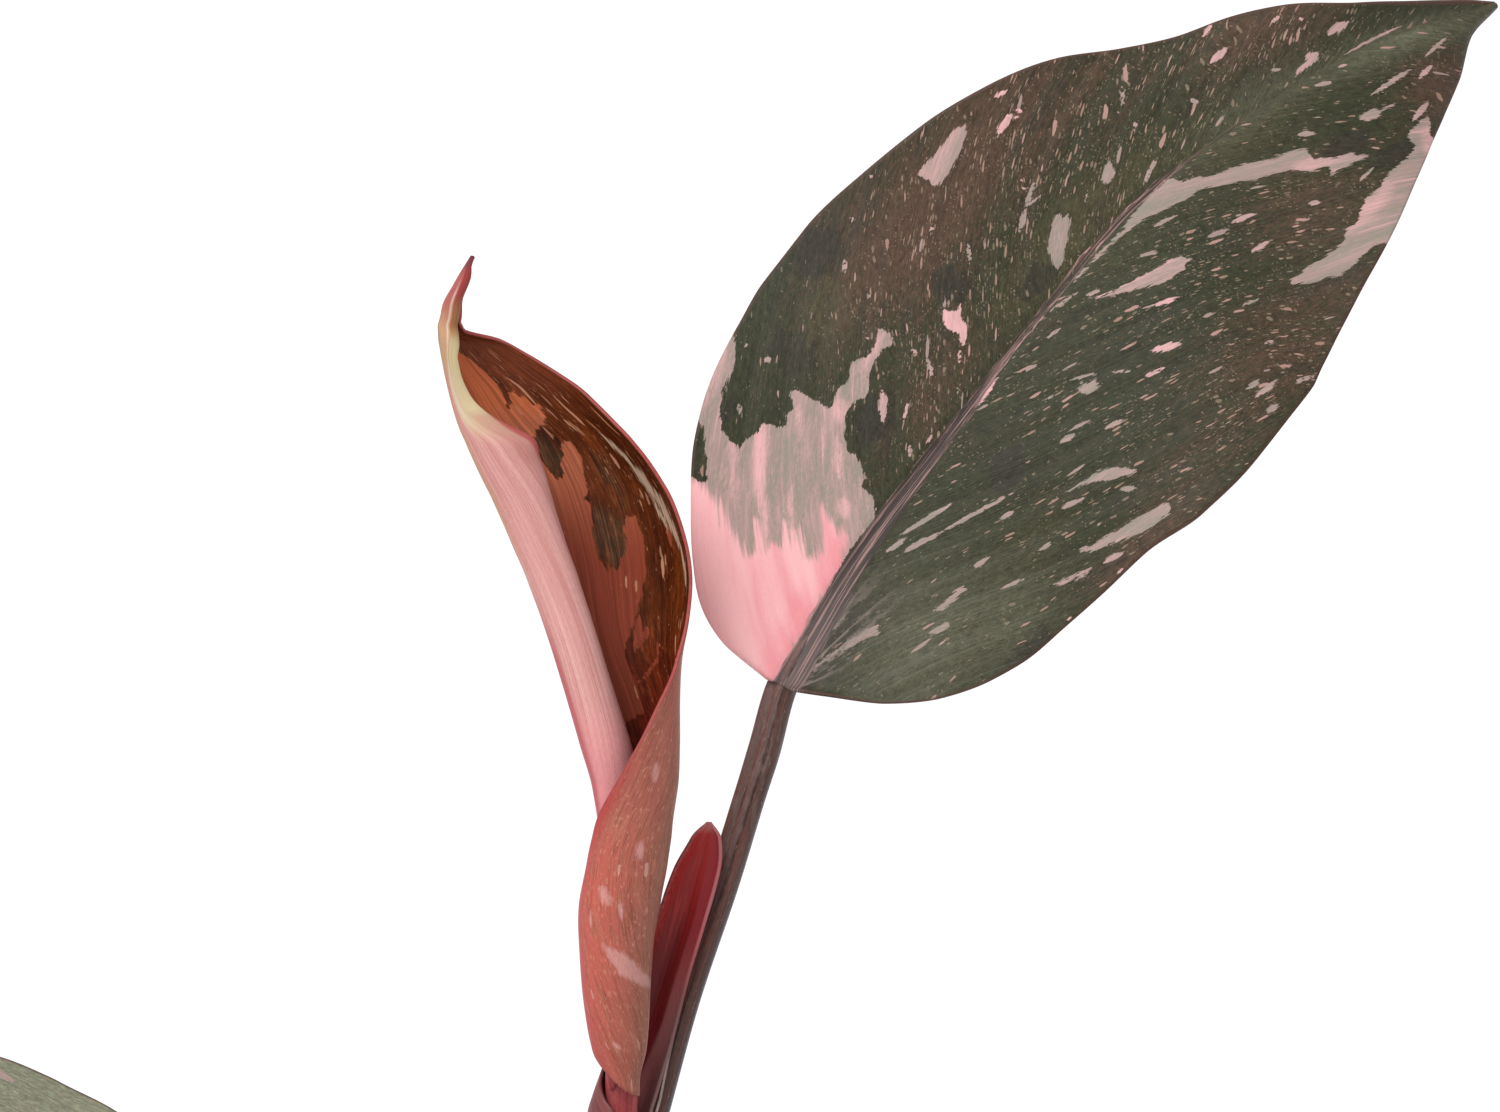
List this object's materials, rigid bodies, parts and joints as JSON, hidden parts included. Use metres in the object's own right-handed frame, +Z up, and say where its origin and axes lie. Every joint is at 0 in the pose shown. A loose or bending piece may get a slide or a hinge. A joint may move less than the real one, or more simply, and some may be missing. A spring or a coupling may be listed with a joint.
{
  "type": "potted pink princess philodendron",
  "caption": "Young upright aroid house plant in a round clay pot: a large dark leaf splashed with pink, a half-rolled red new leaf and smaller lower leaves.",
  "frame": {"origin": "centre of the pot's foot, on the surface that it stands on", "axes": "+Z up; the plant is seen from -Y, with its large leaf leaning to +X"},
  "size_m": [0.2915, 0.2102, 0.3758],
  "materials": {
    "pot_clay": "matte",
    "potting_mix": "rough",
    "stem_skin": "satin",
    "leaf_dark": "satin",
    "leaf_stalk": "satin",
    "new_leaf_red": "satin",
    "new_stalk_red": "satin",
    "sheath_red": "satin"
  },
  "bodies": {
    "root": {"pot": "pot_clay", "soil": "potting_mix", "stem": "stem_skin", "blade_large": "leaf_dark", "blade_left": "leaf_dark", "blade_right": "leaf_dark", "blade_front": "leaf_dark", "blade_small": "leaf_dark", "stalk_large": "leaf_stalk", "stalk_left": "leaf_stalk", "stalk_right": "leaf_stalk", "stalk_front": "leaf_stalk", "stalk_small": "leaf_stalk", "new_leaf": "new_leaf_red", "new_stalk": "new_stalk_red", "sheath": "sheath_red"}
  },
  "joints": []
}
